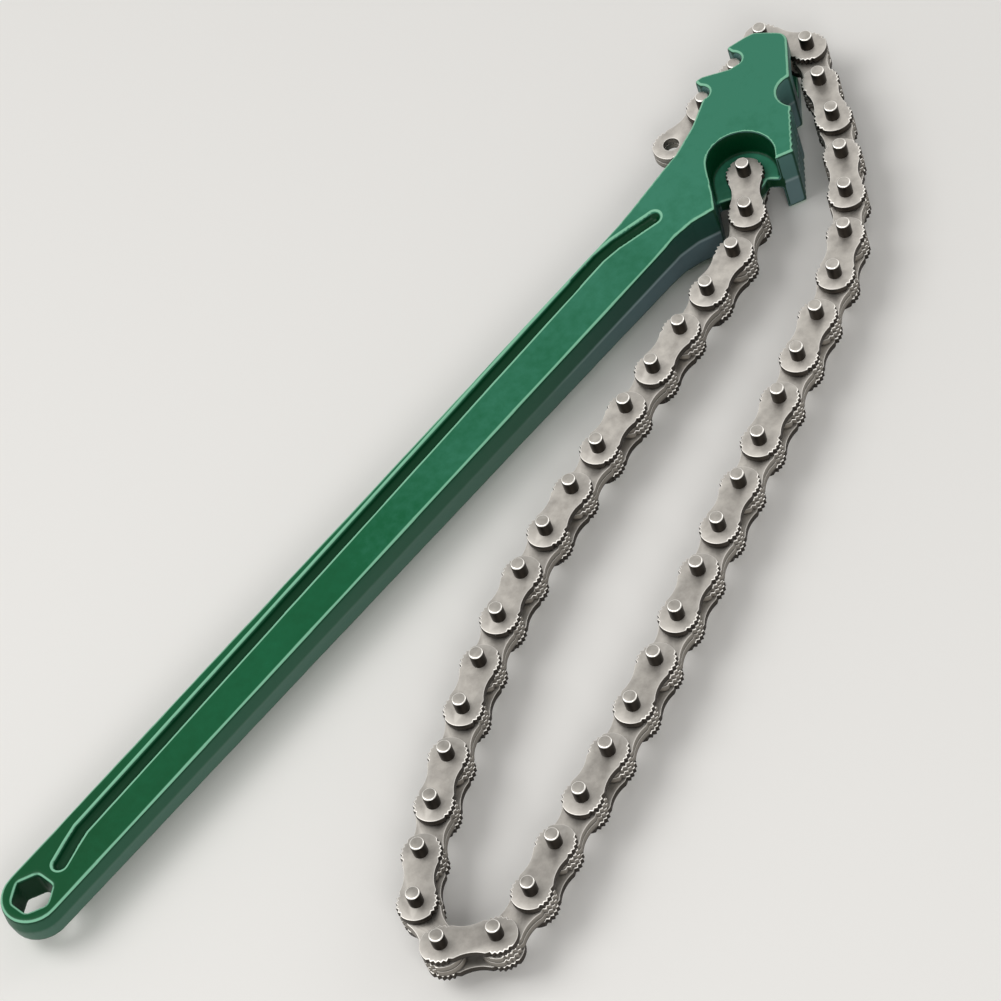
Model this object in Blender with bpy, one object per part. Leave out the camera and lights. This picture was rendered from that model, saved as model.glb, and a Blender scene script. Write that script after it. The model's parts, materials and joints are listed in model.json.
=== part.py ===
"""Chain pipe wrench: a forged handle with a forked, hooked head, and a leaf chain looped over the tip.

Metres, +Z up. The wrench lies flat: +X runs from the hanging hole to the tip of the head, and +Y is
the side of the hooks. While it is being built, the anchor pin of the chain stands at x = y = 0 and the
mid-plane of the forging is z = 0; the last step stands the whole tool on z = 0 about its middle.

The chain is a leaf chain. Outer links carry two plates and the two pins pressed into them, inner links
are two plates side by side that turn on those pins. The long pins reach past the plates on both faces,
and the two hooks of the fork catch them on both cheeks, one pitch apart.
"""

import math

import bmesh
import bpy
from mathutils import Matrix, Vector

# Chain
PITCH = 0.015875
LINK_PAIRS = 22
PIN_RADIUS = 0.0022
PIN_LENGTH = 0.020
PIN_SIDES = 8
PLATE_THICKNESS = 0.0024
PLATE_END_RADIUS = 0.0063
PLATE_WAIST = 0.0088
PLATE_TEETH = 5
PLATE_TOOTH_DEPTH = 0.0006
PLATE_TOOTHED_ARC = 200.0
RUNNING_GAP = 0.0003
BORE_CLEARANCE = 0.00035

# Bar of the handle
HOLE_TO_ANCHOR = 0.3116
BAR_WIDTH = 0.0192
BAR_NECK_THICKNESS = 0.0164
BAR_END_THICKNESS = 0.0106
BAR_END_WALL = 0.0042
BAR_DRAFT = 0.0005
HANGING_HOLE_FLATS = 0.011
EDGE_ROUND = 0.0007
EDGE_CORNER = 0.3

# Neck, where the bar swells to the head
NECK_START = -0.004
NECK_LENGTH = 0.040
NECK_STEPS = 6
FLARE_START = -0.033
FLARE_END = -0.026
FLARE_DEPTH = 0.0016
BACK_START = -0.009
BACK_REACH = 0.013
BACK_DROP = 0.0068

# Groove along the hook side of both faces of the bar, bent towards the middle at both ends
GROOVE_DEPTH = 0.0012
GROOVE_HEAD_WIDTH = 0.0036
GROOVE_END_WIDTH = 0.0046
GROOVE_RIM = 0.0012
GROOVE_DRIFT = 0.0037
GROOVE_SETBACK = 0.007
GROOVE_HEAD_BEND = ((0.0206, -0.0056), (0.0140, -0.0032), (0.0070, -0.0010), (0.0, 0.0))
GROOVE_HOLE_BEND = ((0.0120, 0.0), (0.0064, -0.0012), (0.0, -0.0029))
GROOVE_HOLE_GAP = 0.0116
GROOVE_FLOOR_SHARE = 0.55
GROOVE_TAPER = 0.45
GROOVE_RUNOUT = 0.6

# Head
HEAD_THICKNESS = 0.024
TIP_RADIUS = 0.0518
NOSE_RADIUS = 0.0042
LUG_RADIUS = 0.0066
LUG_ARC = (-140.0, -62.0)
POCKET_RADIUS = 0.0108
POCKET_START = -75.0
POCKET_WALL_ANGLE = -130.4
WEB_REACH = 0.0071
WALL_REACH = 0.0159
CUT_OVERLAP = 0.0005
CHEEK_CLEARANCE = 0.0009
SLOT_FLOOR_GAP = 0.0015
SLOT_CORNER_RADIUS = 0.0035

# Hooks
HOOK_ANGLE = 43.0585
TIP_LINK_TILT = 34.148
HOOK_CLEARANCE = 0.0006
NOTCH_ARC = (-125.0, 45.0)
LIP_ARC = (205.0, 75.0)
LIP_RADIUS = 0.0009
LIP_SHIFT = 0.00036
CREST_REACH = 0.0052
CREST_RISE = 0.00135
VALLEY_REACH = 0.0037
VALLEY_DROP = 0.0017
TIP_SHOULDER = 0.0087
TIP_ROUND_REACH = 0.01102
TIP_CLEARANCE = 0.0016

# Jaw
HEEL_REACH = 0.0107
HEEL_DROP = 0.0126
HEEL_FACE_ANGLE = 150.0
JAW_ANGLE = 41.5
NOTCH_RADIUS = 0.0063
NOTCH_ALONG = 0.0249
NOTCH_OFFSET = 0.0020
JAW_TEETH = 7
JAW_TOOTH_DEPTH = 0.0008

# Lie of the chain
CHAIN_ROUTE = (
    (0.0, 0.0),
    (-0.0118, -0.0106),
    (-0.0268, -0.0174),
    (-0.0585, -0.0223),
    (-0.122, -0.0328),
    (-0.1676, -0.0446),
    (-0.2117, -0.0641),
    (-0.247, -0.085),
    (-0.2554, -0.104),
    (-0.241, -0.1143),
    (-0.212, -0.1078),
    (-0.165, -0.0968),
    (-0.1043, -0.0781),
    (-0.044, -0.0588),
    (-0.006, -0.0443),
)
# The last points of the route, measured from the pin that lies on the tip
TIP_ROUTE = ((-0.0228, -0.0504), (-0.0043, -0.0268), (0.0045, -0.0147), (0.0, 0.0))
FREE_END_ANGLE = 175.0
STRETCH_LIMITS = (0.3, 3.0)

ANCHOR = Vector((0.0, 0.0))
NECK_END = NECK_START - NECK_LENGTH
HANGING_HOLE = Vector((-HOLE_TO_ANCHOR, BAR_WIDTH / 2))
END_RADIUS = HANGING_HOLE_FLATS / 2 + BAR_END_WALL
HEAD_HALF = HEAD_THICKNESS / 2
WEB_HALF = PLATE_THICKNESS
PACK_HALF = 2 * PLATE_THICKNESS + RUNNING_GAP
SLOT_HALF = PACK_HALF + CHEEK_CLEARANCE
BORE_RADIUS = PIN_RADIUS + BORE_CLEARANCE
HOOK_RADIUS = PIN_RADIUS + HOOK_CLEARANCE
JAW_ALONG = Vector((math.cos(math.radians(JAW_ANGLE)), math.sin(math.radians(JAW_ANGLE))))
JAW_OUT = Vector((JAW_ALONG.y, -JAW_ALONG.x))
HEEL = Vector((HEEL_REACH, -HEEL_DROP))
NOTCH_CENTRE = HEEL + NOTCH_ALONG * JAW_ALONG + NOTCH_OFFSET * JAW_OUT


def polar(centre, radius, degrees):
    """The point at this radius and angle from a centre."""
    angle = math.radians(degrees)
    return Vector((centre[0] + radius * math.cos(angle), centre[1] + radius * math.sin(angle)))


def arc(centre, radius, start, end, steps):
    """Points on an arc from one angle to another, in degrees, both ends included."""
    return [polar(centre, radius, start + (end - start) * i / steps) for i in range(steps + 1)]


def inset(outline, distance):
    """A counter-clockwise outline moved inwards by a distance, each corner along its mitre."""
    moved = []
    for index, point in enumerate(outline):
        before = (point - outline[index - 1]).normalized()
        after = (outline[(index + 1) % len(outline)] - point).normalized()
        left_before = Vector((-before.y, before.x))
        left_after = Vector((-after.y, after.x))
        mitre = left_before + left_after
        moved.append(point + mitre * (distance / (mitre.dot(left_after))))
    return moved


def loft(rings):
    """A closed mesh through rings of 3-D points that all have as many points, capped at both ends."""
    mesh = bmesh.new()
    loops = [[mesh.verts.new(point) for point in ring] for ring in rings]
    for low, high in zip(loops, loops[1:]):
        for index in range(len(low)):
            after = (index + 1) % len(low)
            mesh.faces.new((low[index], low[after], high[after], high[index]))
    mesh.faces.new(reversed(loops[0]))
    mesh.faces.new(loops[-1])
    bmesh.ops.recalc_face_normals(mesh, faces=mesh.faces)
    return mesh


def prism(outline, low, high):
    """An outline in plan, extruded from one height to another."""
    return loft([[(p.x, p.y, z) for p in outline] for z in (low, high)])


def tube(centre, radius, low, high, sides, turn=0.0):
    """A round or polygonal bar standing on the plan, with a corner at the given angle."""
    return prism([polar(centre, radius, turn + 360 * i / sides) for i in range(sides)], low, high)


def material(name, colour, roughness, metallic):
    """A Principled material with one colour."""
    made = bpy.data.materials.new(name)
    made.use_nodes = True
    shader = made.node_tree.nodes["Principled BSDF"]
    shader.inputs["Base Color"].default_value = (*colour, 1.0)
    shader.inputs["Roughness"].default_value = roughness
    shader.inputs["Metallic"].default_value = metallic
    return made


def place(name, mesh, surface=None):
    """Puts a bmesh or a finished mesh into the scene as a named object."""
    if isinstance(mesh, bmesh.types.BMesh):
        data = bpy.data.meshes.new(name)
        mesh.to_mesh(data)
        mesh.free()
    else:
        data = mesh
    made = bpy.data.objects.new(name, data)
    bpy.context.scene.collection.objects.link(made)
    if surface and not data.materials:
        data.materials.append(surface)
    return made


def helper(name, mesh):
    """A cutter or a joining shape, which isn't part of the tool itself."""
    made = place(name, mesh)
    made.hide_render = True
    made.display_type = "WIRE"
    return made


def combine(target, other, operation):
    """Adds a Boolean modifier that joins another shape to the target or cuts it away."""
    step = target.modifiers.new(other.name, "BOOLEAN")
    step.operation = operation
    step.solver = "EXACT"
    step.object = other


def finished_mesh(target):
    """The mesh of an object with its modifiers applied, smooth over its round stretches."""
    graph = bpy.context.evaluated_depsgraph_get()
    mesh = bpy.data.meshes.new_from_object(target.evaluated_get(graph))
    mesh.shade_smooth()
    mesh.set_sharp_from_angle(angle=math.radians(30))
    return mesh


def thickness_stations():
    """(x, half thickness) along the handle; the thickness runs straight from each to the next."""
    neck_half = BAR_NECK_THICKNESS / 2
    end_half = BAR_END_THICKNESS / 2
    stations = [(-HOLE_TO_ANCHOR - END_RADIUS, end_half), (-HOLE_TO_ANCHOR, end_half)]
    for i in range(NECK_STEPS + 1):
        share = i / NECK_STEPS
        rise = (1 - math.cos(math.pi * share)) / 2
        stations.append((NECK_END + NECK_LENGTH * share, neck_half + (HEAD_HALF - neck_half) * rise))
    stations.append((TIP_RADIUS, HEAD_HALF))
    return stations


def half_thickness(x):
    """Half the thickness of the forging at x."""
    stations = thickness_stations()
    for (low, first), (high, second) in zip(stations, stations[1:]):
        if x <= high:
            share = max(0.0, (x - low) / (high - low))
            return first + (second - first) * share
    return HEAD_HALF


def hook_pins():
    """Where the two hooks seat their pins.

    The first hook lies so far inside the tip that a link hung on it reaches, at its tilt, a pin that
    clears the tip's round. The second hook is one pitch behind the first.
    """
    reach = TIP_RADIUS + PIN_RADIUS + TIP_CLEARANCE
    tilt = math.radians(TIP_LINK_TILT)
    radius = math.sqrt(reach**2 - (PITCH * math.sin(tilt)) ** 2) - PITCH * math.cos(tilt)
    first = polar(ANCHOR, radius, HOOK_ANGLE)
    return first, first - Vector((PITCH, 0.0))


def tip_pin():
    """The pin that lies on the tip, one pitch from the first hook."""
    return polar(hook_pins()[0], PITCH, HOOK_ANGLE - TIP_LINK_TILT)


def hook_outline(notch):
    """One hook in the direction of the tip: the notch that seats a pin, then the lip that holds it."""
    lip = notch + Vector((HOOK_RADIUS + LIP_SHIFT, HOOK_RADIUS + LIP_RADIUS))
    return arc(notch, HOOK_RADIUS, *NOTCH_ARC, 8) + arc(lip, LIP_RADIUS, *LIP_ARC, 4)


def hook_side_outline():
    """The edge of the forging from the bar over both hooks to the tip."""
    first, second = hook_pins()
    crest = second + Vector((CREST_REACH, HOOK_RADIUS + CREST_RISE))
    return [
        Vector((BACK_START, BAR_WIDTH)),
        second - Vector((BACK_REACH, BACK_DROP)),
        *hook_outline(second),
        crest,
        first - Vector((VALLEY_REACH, VALLEY_DROP)),
        *hook_outline(first),
        first + Vector((TIP_SHOULDER, HOOK_RADIUS)),
    ]


def nose_centre():
    """Centre of the round between the tip and the jaw line, tangent to both."""
    start = HEEL - NOSE_RADIUS * JAW_OUT
    reach = TIP_RADIUS - NOSE_RADIUS
    along = -start.dot(JAW_ALONG)
    return start + JAW_ALONG * (along + math.sqrt(along**2 - start.length_squared + reach**2))


def jaw_outline():
    """From the heel up the jaw line, round its half-round notch, to the nose and along the tip."""
    half_angle = math.degrees(math.acos(NOTCH_OFFSET / NOTCH_RADIUS))
    inwards = JAW_ANGLE + 90
    nose = nose_centre()
    shoulder = hook_pins()[0] + Vector((TIP_ROUND_REACH, LIP_RADIUS))
    tip_start = math.degrees(math.atan2(nose.y, nose.x))
    tip_end = math.degrees(math.atan2(shoulder.y, shoulder.x))
    return (
        [HEEL]
        + arc(NOTCH_CENTRE, NOTCH_RADIUS, inwards + half_angle, inwards - half_angle, 14)
        + arc(nose, NOSE_RADIUS, JAW_ANGLE - 90, tip_start, 8)
        + arc(ANCHOR, TIP_RADIUS, tip_start, tip_end, 4)[1:]
    )


def wall_point(along):
    """A point on the pocket's straight wall, measured from where it leaves the pocket's round."""
    start = polar(ANCHOR, POCKET_RADIUS, POCKET_WALL_ANGLE + 270)
    return polar(start, along, POCKET_WALL_ANGLE)


def heel_edge():
    """Where the heel's face meets the round of the pocket."""
    along = polar((0.0, 0.0), 1.0, HEEL_FACE_ANGLE)
    half = HEEL.dot(along)
    return HEEL - along * (half + math.sqrt(half**2 - HEEL.length_squared + POCKET_RADIUS**2))


def handle_outline():
    """The whole forging seen from above, counter-clockwise, without its slot and pockets."""
    lug = arc(ANCHOR, LUG_RADIUS, *LUG_ARC, 6)
    into_pocket = Vector((CUT_OVERLAP, 0.0))
    return (
        arc(HANGING_HOLE, END_RADIUS, 90, 270, 14)
        + [Vector((FLARE_START, 0.0)), Vector((FLARE_END, -FLARE_DEPTH))]
        + [wall_point(WALL_REACH) - into_pocket, wall_point(WEB_REACH) + into_pocket]
        + lug
        + [heel_edge()]
        + jaw_outline()
        + hook_side_outline()[::-1]
    )


def forging():
    """The body of the handle: its outline with rounded edges, drafted bar sides and a tapered thickness."""
    outline = handle_outline()
    mid = []
    for point, swollen in zip(outline, inset(outline, -BAR_DRAFT)):
        share = (NECK_START - point.x) / NECK_LENGTH
        mid.append(point.lerp(swollen, min(1.0, max(0.0, share))))
    top = HEAD_HALF
    edge = min(EDGE_ROUND, 0.8 * LIP_RADIUS)
    corner = edge * EDGE_CORNER
    sections = [(top - edge, outline), (top - corner, inset(outline, corner)), (top, inset(outline, edge))]
    lower = [(-z, ring) for z, ring in reversed(sections)]
    mesh = loft([[(p.x, p.y, z) for p in ring] for z, ring in lower + [(0.0, mid)] + sections])
    for x, _ in thickness_stations()[1:-1]:
        geometry = mesh.verts[:] + mesh.edges[:] + mesh.faces[:]
        bmesh.ops.bisect_plane(mesh, geom=geometry, dist=1e-7, plane_co=(x, 0, 0), plane_no=(1, 0, 0))
    for vertex in mesh.verts:
        if abs(vertex.co.z) > top / 2:
            drop = HEAD_HALF - half_thickness(vertex.co.x)
            vertex.co.z -= math.copysign(drop, vertex.co.z)
    return mesh


def slot_outline():
    """The chain's way through the fork, open over the tip and along the hooks.

    It clears the plates on the hooks and the tip, and starts behind the free end link.
    """
    _, second = hook_pins()
    room = PLATE_END_RADIUS + SLOT_FLOOR_GAP
    start = second.x - PITCH - room
    floor = second.y - room
    right = tip_pin().x - room
    corner = Vector((right - SLOT_CORNER_RADIUS, floor - SLOT_CORNER_RADIUS))
    clear = 2 * TIP_RADIUS
    corners = ((right, -clear), (clear, -clear), (clear, clear), (start, clear), (start, floor))
    return [Vector(point) for point in corners] + arc(corner, SLOT_CORNER_RADIUS, 90, 0, 5)


def pocket_outline():
    """The pocket round the anchor pin, open at the lower side of the head."""
    round_wall = arc(ANCHOR, POCKET_RADIUS, POCKET_START, POCKET_WALL_ANGLE + 270, 18)
    return round_wall + [wall_point(2 * WALL_REACH), Vector((0.0, -2 * POCKET_RADIUS))]


def groove_path():
    """The groove's middle line, from its bend near the head to the one near the hole."""
    head_line = BAR_WIDTH - GROOVE_RIM - GROOVE_HEAD_WIDTH / 2
    head = Vector((NECK_END - GROOVE_SETBACK, head_line))
    hole = Vector((GROOVE_HOLE_GAP - HOLE_TO_ANCHOR, head_line - GROOVE_DRIFT))
    head_bend = [head + Vector(step) for step in GROOVE_HEAD_BEND]
    return head_bend + [hole + Vector(step) for step in GROOVE_HOLE_BEND]


def groove_ring(centre, across, half, side):
    """One section across the groove: a flat floor between sloping sides, open above the face."""
    floor = GROOVE_FLOOR_SHARE * half
    slope = ((-half, GROOVE_DEPTH), (-half, 0.0), (-floor, -GROOVE_DEPTH))
    face = half_thickness(centre.x)
    ring = []
    for offset, height in slope + tuple((-offset, height) for offset, height in reversed(slope)):
        spot = centre + across * offset
        ring.append((spot.x, spot.y, side * (face + height)))
    return ring


def groove_rings(side):
    """Sections across the groove of one face, narrower at both ends."""
    path = groove_path()
    last = len(path) - 1
    rings = []
    for index, point in enumerate(path):
        ahead = (path[min(index + 1, last)] - path[max(index - 1, 0)]).normalized()
        across = Vector((-ahead.y, ahead.x))
        half = (GROOVE_HEAD_WIDTH + (GROOVE_END_WIDTH - GROOVE_HEAD_WIDTH) * index / last) / 2
        runout = ahead * half * GROOVE_RUNOUT
        if index == 0:
            rings.append(groove_ring(point - runout, across, half * GROOVE_TAPER, side))
        rings.append(groove_ring(point, across, half, side))
        if index == last:
            rings.append(groove_ring(point + runout, across, half * GROOVE_TAPER, side))
    return rings


def jaw_teeth_outline():
    """Saw teeth along the jaw line between the heel and the half-round notch, as the shape cut away."""
    length = NOTCH_ALONG - math.sqrt(NOTCH_RADIUS**2 - NOTCH_OFFSET**2)
    pitch = length / (JAW_TEETH + 1)
    clear = JAW_OUT * (3 * JAW_TOOTH_DEPTH)
    points = [HEEL + clear]
    for tooth in range(JAW_TEETH + 1):
        crest = HEEL + JAW_ALONG * pitch * (tooth + 0.25)
        points.append(crest + JAW_OUT * (JAW_TOOTH_DEPTH / 10))
        if tooth < JAW_TEETH:
            points.append(crest + JAW_ALONG * pitch / 2 - JAW_OUT * JAW_TOOTH_DEPTH)
    points.append(HEEL + JAW_ALONG * length + clear)
    return points[::-1]


def make_handle(paint):
    """The one-piece forging with its slot, pockets, teeth, grooves and holes cut."""
    body = place("handle_forging_blank", forging(), paint)
    clear = HEAD_THICKNESS
    cutters = [
        helper("chain_slot", prism(slot_outline(), -SLOT_HALF, SLOT_HALF)),
        helper("front_pocket", prism(pocket_outline(), WEB_HALF, clear)),
        helper("back_pocket", prism(pocket_outline(), -clear, -WEB_HALF)),
        helper("jaw_teeth", prism(jaw_teeth_outline(), -clear, clear)),
        helper("anchor_bore", tube(ANCHOR, BORE_RADIUS, -clear, clear, 12)),
        helper("hanging_hole", tube(HANGING_HOLE, HANGING_HOLE_FLATS / math.sqrt(3), -clear, clear, 6, 30)),
        helper("front_groove", loft(groove_rings(1))),
        helper("back_groove", loft(groove_rings(-1))),
    ]
    for cutter in cutters:
        combine(body, cutter, "DIFFERENCE")
    handle = place("handle", finished_mesh(body))
    body.hide_render = True
    body.display_type = "WIRE"
    return handle


def plate_end(centre, facing):
    """The toothed round end of a link plate, counter-clockwise about its pin."""
    points = []
    steps = 2 * PLATE_TEETH
    for step in range(steps + 1):
        angle = facing - PLATE_TOOTHED_ARC / 2 + PLATE_TOOTHED_ARC * step / steps
        depth = PLATE_TOOTH_DEPTH * (step % 2)
        points.append(polar(centre, PLATE_END_RADIUS - depth, angle))
    return points


def plate_outline():
    """A link plate between two pins one pitch apart: toothed round ends and a narrow waist."""
    far = Vector((PITCH, 0.0))
    waist = Vector((0.0, PLATE_WAIST / 2))
    middle = far / 2
    return plate_end(far, 0) + [middle + waist] + plate_end(ANCHOR, 180) + [middle - waist]


def outer_link_mesh(steel):
    """Two plates and the two long pins pressed into them."""
    inner_face = PLATE_THICKNESS + RUNNING_GAP
    base = place("outer_link_blank", prism(plate_outline(), inner_face, PACK_HALF), steel)
    back = helper("outer_back_plate", prism(plate_outline(), -PACK_HALF, -inner_face))
    combine(base, back, "UNION")
    for centre in (ANCHOR, Vector((PITCH, 0.0))):
        half = PIN_LENGTH / 2
        combine(base, helper("outer_pin", tube(centre, PIN_RADIUS, -half, half, PIN_SIDES, 22.5)), "UNION")
    base.hide_render = True
    base.display_type = "WIRE"
    return finished_mesh(base)


def inner_link_mesh(steel):
    """Two plates side by side, bored to turn on the pins of their neighbours."""
    base = place("inner_link_blank", prism(plate_outline(), -PLATE_THICKNESS, PLATE_THICKNESS), steel)
    for centre in (ANCHOR, Vector((PITCH, 0.0))):
        bore = helper("inner_bore", tube(centre, BORE_RADIUS, -PITCH, PITCH, PIN_SIDES, 22.5))
        combine(base, bore, "DIFFERENCE")
    base.hide_render = True
    base.display_type = "WIRE"
    return finished_mesh(base)


def smooth_route(points):
    """A smooth curve through the points, as many short steps."""
    steps = 24
    route = []
    ends = [2 * points[0] - points[1]] + points + [2 * points[-1] - points[-2]]
    for before, start, end, after in zip(ends, ends[1:], ends[2:], ends[3:]):
        for step in range(steps):
            t = step / steps
            route.append(
                0.5
                * (
                    2 * start
                    + (end - before) * t
                    + (2 * before - 5 * start + 4 * end - after) * t**2
                    + (3 * start - before - 3 * end + after) * t**3
                )
            )
    route.append(points[-1])
    return route


def walk(route, spacing):
    """Pins laid along a route at one spacing in a straight line, and how much spacing is left over."""
    pins = [route[0]]
    for start, end in zip(route, route[1:]):
        while (end - pins[-1]).length >= spacing:
            run = end - start
            offset = start - pins[-1]
            half = run.dot(offset) / run.length_squared
            rest = (offset.length_squared - spacing**2) / run.length_squared
            pins.append(start + run * (-half + math.sqrt(half**2 - rest)))
            start = pins[-1]
    return pins, (route[-1] - pins[-1]).length / spacing


def chain_pins():
    """Every pin of the looped chain from the anchor to the free end, each a pitch from the last.

    The loop is drawn out or pushed in along X until the chain's whole number of links fits it.
    """
    first, second = hook_pins()
    tip = tip_pin()
    wanted = 2 * LINK_PAIRS - 3
    low, high = STRETCH_LIMITS
    for _ in range(60):
        stretch = (low + high) / 2
        loop = [Vector((x * stretch, y)) for x, y in CHAIN_ROUTE]
        pins, left = walk(smooth_route(loop + [tip + Vector(p) for p in TIP_ROUTE]), PITCH)
        if len(pins) - 1 + left > wanted:
            high = stretch
        else:
            low = stretch
    return pins[:wanted] + [tip, first, second, polar(second, PITCH, FREE_END_ANGLE)]


def make_chain(steel):
    """The links in their order from the anchor, each with its origin on the pin it hangs from."""
    outer = outer_link_mesh(steel)
    inner = inner_link_mesh(steel)
    links = []
    pins = chain_pins()
    for index, (start, end) in enumerate(zip(pins, pins[1:])):
        kind, mesh = (("outer", outer), ("inner", inner))[index % 2]
        link = place(f"{kind}_link_{index // 2 + 1:02d}", mesh)
        link.location = (start.x, start.y, 0.0)
        link.rotation_euler = (0.0, 0.0, math.atan2(end.y - start.y, end.x - start.x))
        links.append(link)
    return links


def stand_on_floor(pieces):
    """Hangs every piece on an empty, moved so that the tool's box stands centred on z = 0."""
    bpy.context.view_layer.update()
    corners = [piece.matrix_world @ vertex.co for piece in pieces for vertex in piece.data.vertices]
    low = Vector([min(corner[axis] for corner in corners) for axis in range(3)])
    high = Vector([max(corner[axis] for corner in corners) for axis in range(3)])
    stand = bpy.data.objects.new("wrench_stand", None)
    bpy.context.scene.collection.objects.link(stand)
    for piece in pieces:
        piece.parent = stand
    stand.matrix_world = Matrix.Translation((-(low.x + high.x) / 2, -(low.y + high.y) / 2, -low.z))


def main():
    """Clears the scene and builds the wrench."""
    for old in list(bpy.data.objects):
        bpy.data.objects.remove(old, do_unlink=True)
    paint = material("green_enamel", (0.045, 0.19, 0.10), 0.38, 0.0)
    steel = material("bright_steel", (0.55, 0.53, 0.50), 0.32, 0.9)
    handle = make_handle(paint)
    links = make_chain(steel)
    stand_on_floor([handle] + links)


main()
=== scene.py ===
"""Chain pipe wrench, dressed: a painted drop forging and a bare steel leaf chain.

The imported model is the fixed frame. The forging is a softened copy of its CAD node, and each link of
the chain is made again as the real one is: stamped plates with toothed flanks, and long chamfered pins.

Places and lengths are in metres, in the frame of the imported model. A name that ends in _mm holds
millimetres, and one that ends in _degrees an angle. A name that ends in _span holds where a change
starts and where it ends.
"""

import json
import logging
import math
from collections.abc import Callable
from dataclasses import dataclass, field
from enum import Enum
from typing import Any

import bmesh
import bpy
import numpy as np
from mathutils import Matrix, Vector


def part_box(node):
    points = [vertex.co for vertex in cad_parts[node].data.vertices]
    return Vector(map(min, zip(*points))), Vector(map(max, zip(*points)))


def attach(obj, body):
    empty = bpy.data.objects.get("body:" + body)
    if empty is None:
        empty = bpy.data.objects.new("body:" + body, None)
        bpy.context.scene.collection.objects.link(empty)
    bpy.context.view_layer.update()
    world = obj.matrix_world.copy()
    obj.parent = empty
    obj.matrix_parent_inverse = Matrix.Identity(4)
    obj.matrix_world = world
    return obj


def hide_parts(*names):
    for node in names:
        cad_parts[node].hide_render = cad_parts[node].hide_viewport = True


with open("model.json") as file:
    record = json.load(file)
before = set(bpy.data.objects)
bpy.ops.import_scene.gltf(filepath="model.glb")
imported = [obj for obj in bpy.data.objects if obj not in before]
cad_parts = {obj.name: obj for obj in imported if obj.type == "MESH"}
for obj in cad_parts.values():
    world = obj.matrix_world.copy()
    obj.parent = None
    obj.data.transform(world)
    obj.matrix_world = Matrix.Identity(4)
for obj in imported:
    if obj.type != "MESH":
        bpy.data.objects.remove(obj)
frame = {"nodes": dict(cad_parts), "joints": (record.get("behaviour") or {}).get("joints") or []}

MM = 0.001
EDGE_MARK = "edge_turn"
LOG = logging.getLogger("chain_wrench")

# The tool's mid-plane, at which the two dies of the forging met.
MID_HEIGHT = 12.0 * MM

# The middle line of the groove in each face of the bar, seen from above.
GROOVE_LINE = (
    (0.1021, 0.0518),
    (0.0955, 0.0542),
    (0.0885, 0.0564),
    (0.0815, 0.0574),
    (-0.1555, 0.0537),
    (-0.1611, 0.0525),
    (-0.1675, 0.0508),
)

Colour = tuple[float, float, float, float]
Place = tuple[float, float, float]
Span = tuple[float, float]
Socket = bpy.types.NodeSocket
Tree = bpy.types.NodeTree


class LinkKind(Enum):
    """The two kinds of link that take turns along the chain."""

    OUTER = "outer"
    INNER = "inner"


class Face(Enum):
    """The two faces of the flat-lying tool, as the sign of Z seen from its mid-plane."""

    TOP = 1
    BOTTOM = -1


def linear(code: str) -> Colour:
    """Turns an sRGB hex colour such as #3D8262 into linear RGBA.

    Args:
        code: The colour as # and six hex digits.

    Returns:
        Red, green, blue and an alpha of 1, linear.
    """
    parts = [int(code[start : start + 2], 16) / 255 for start in (1, 3, 5)]
    red, green, blue = (p / 12.92 if p <= 0.04045 else ((p + 0.055) / 1.055) ** 2.4 for p in parts)
    return red, green, blue, 1.0


def grey(level: float) -> Colour:
    """A linear grey, from 0 for black to 1 for white."""
    return level, level, level, 1.0


def per_metre(size_mm: float) -> float:
    """The scale of a pattern whose blotches are about this many millimetres wide."""
    return 1 / (size_mm * MM)


def add_node(
    tree: Tree,
    kind: str,
    settings: dict[str, Any] | None = None,
    inputs: dict[str | int, Any] | None = None,
    stops: dict[float, Colour] | None = None,
) -> bpy.types.Node:
    """Adds a node with its settings, values and links.

    Args:
        tree: The node tree that gets the node.
        kind: Blender's name of the node type.
        settings: Properties of the node by name.
        inputs: Values for its inputs by name or number; an output socket is linked instead.
        stops: Colours of a ramp by their place from 0 to 1, in order.

    Returns:
        The new node.
    """
    made = tree.nodes.new(kind)
    for name, value in (settings or {}).items():
        setattr(made, name, value)
    for key, value in (inputs or {}).items():
        if isinstance(value, Socket):
            tree.links.new(value, made.inputs[key])
        else:
            made.inputs[key].default_value = value
    if stops:
        elements = made.color_ramp.elements
        while len(elements) < len(stops):
            elements.new(1.0)
        for element, (place, colour) in zip(elements, stops.items()):
            element.position = place
            element.color = colour
    return made


def new_material(name: str) -> tuple[bpy.types.Material, Tree, bpy.types.Node]:
    """Makes a plain material.

    Args:
        name: The name of the material.

    Returns:
        The material, its node tree and its Principled shader.
    """
    made = bpy.data.materials.new(name)
    made.use_nodes = True
    tree = made.node_tree
    return made, tree, tree.nodes["Principled BSDF"]


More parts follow.
